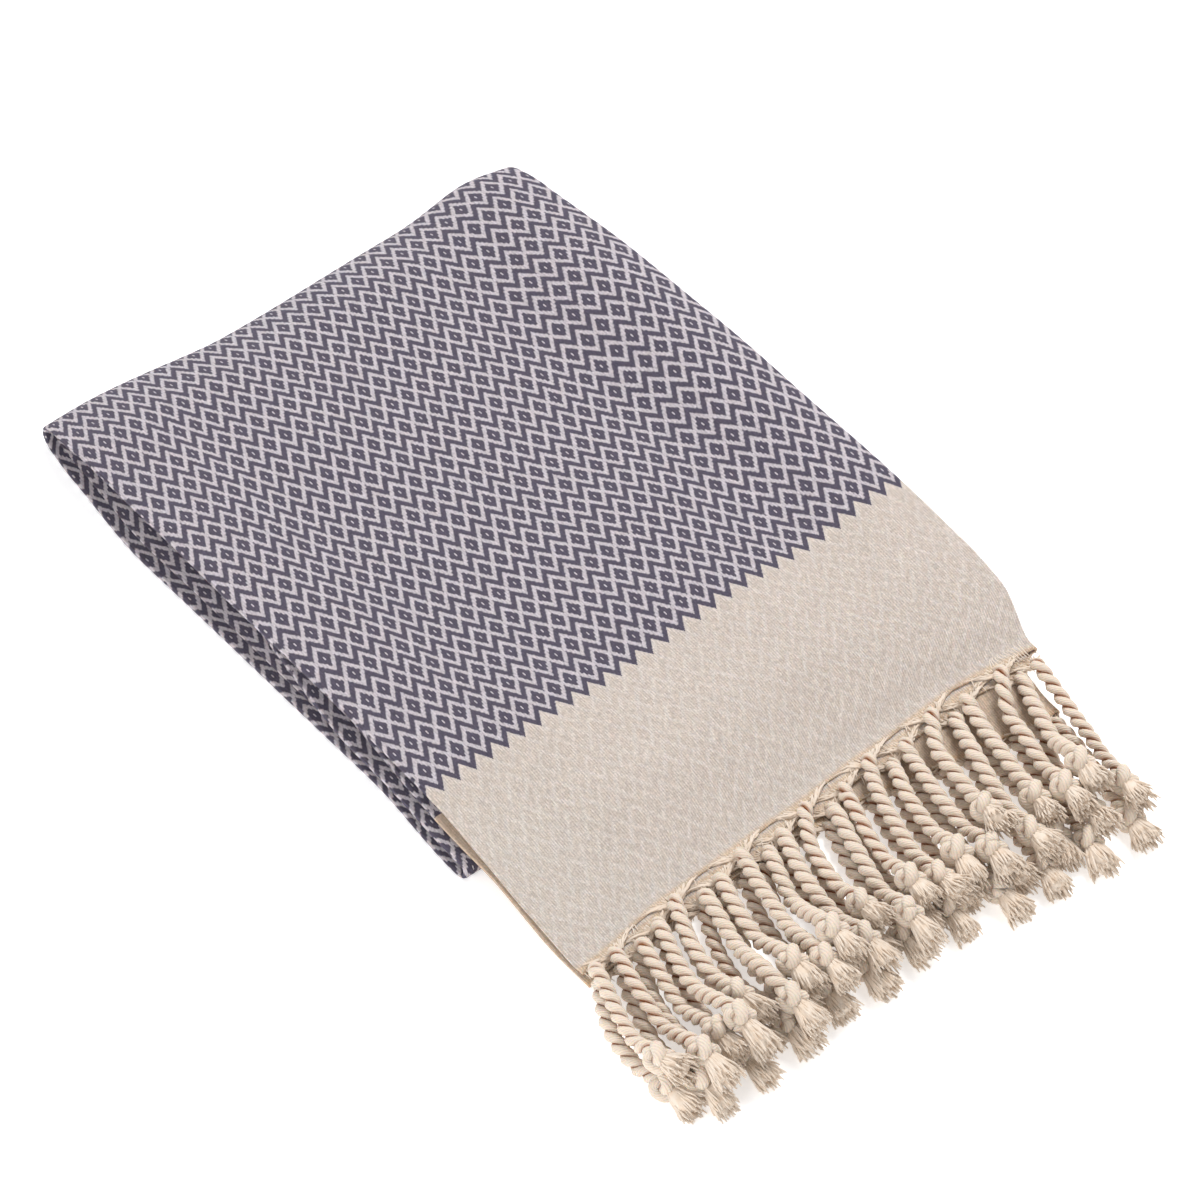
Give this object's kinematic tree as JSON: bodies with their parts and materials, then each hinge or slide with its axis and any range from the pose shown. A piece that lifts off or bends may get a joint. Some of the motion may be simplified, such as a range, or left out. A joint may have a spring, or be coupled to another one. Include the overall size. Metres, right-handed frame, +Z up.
{
  "type": "hammam towel",
  "caption": "Folded flat-woven cotton bath towel with a small diamond weave, a plain band at each end and knotted fringes of twisted cord.",
  "frame": {"origin": "on the ground, at the middle of the outline of the folded towel with its fringes", "axes": "+Z up out of the folded stack, +Y towards its back fold, -Y towards the fringes, +X across it towards the edge with the proud ridge of folds"},
  "size_m": [0.358, 0.6044, 0.0406],
  "materials": {
    "woven_cotton": "flat-woven cotton, dark grey-violet and cream yarns in small diamonds, cream bands at the ends",
    "corded_cotton": "undyed cream cotton warp ends, twisted in two plies and knotted"
  },
  "bodies": {
    "root": {"towel_cloth": "woven_cotton", "fringe_top_end": "corded_cotton", "fringe_under_end": "corded_cotton"}
  },
  "joints": []
}
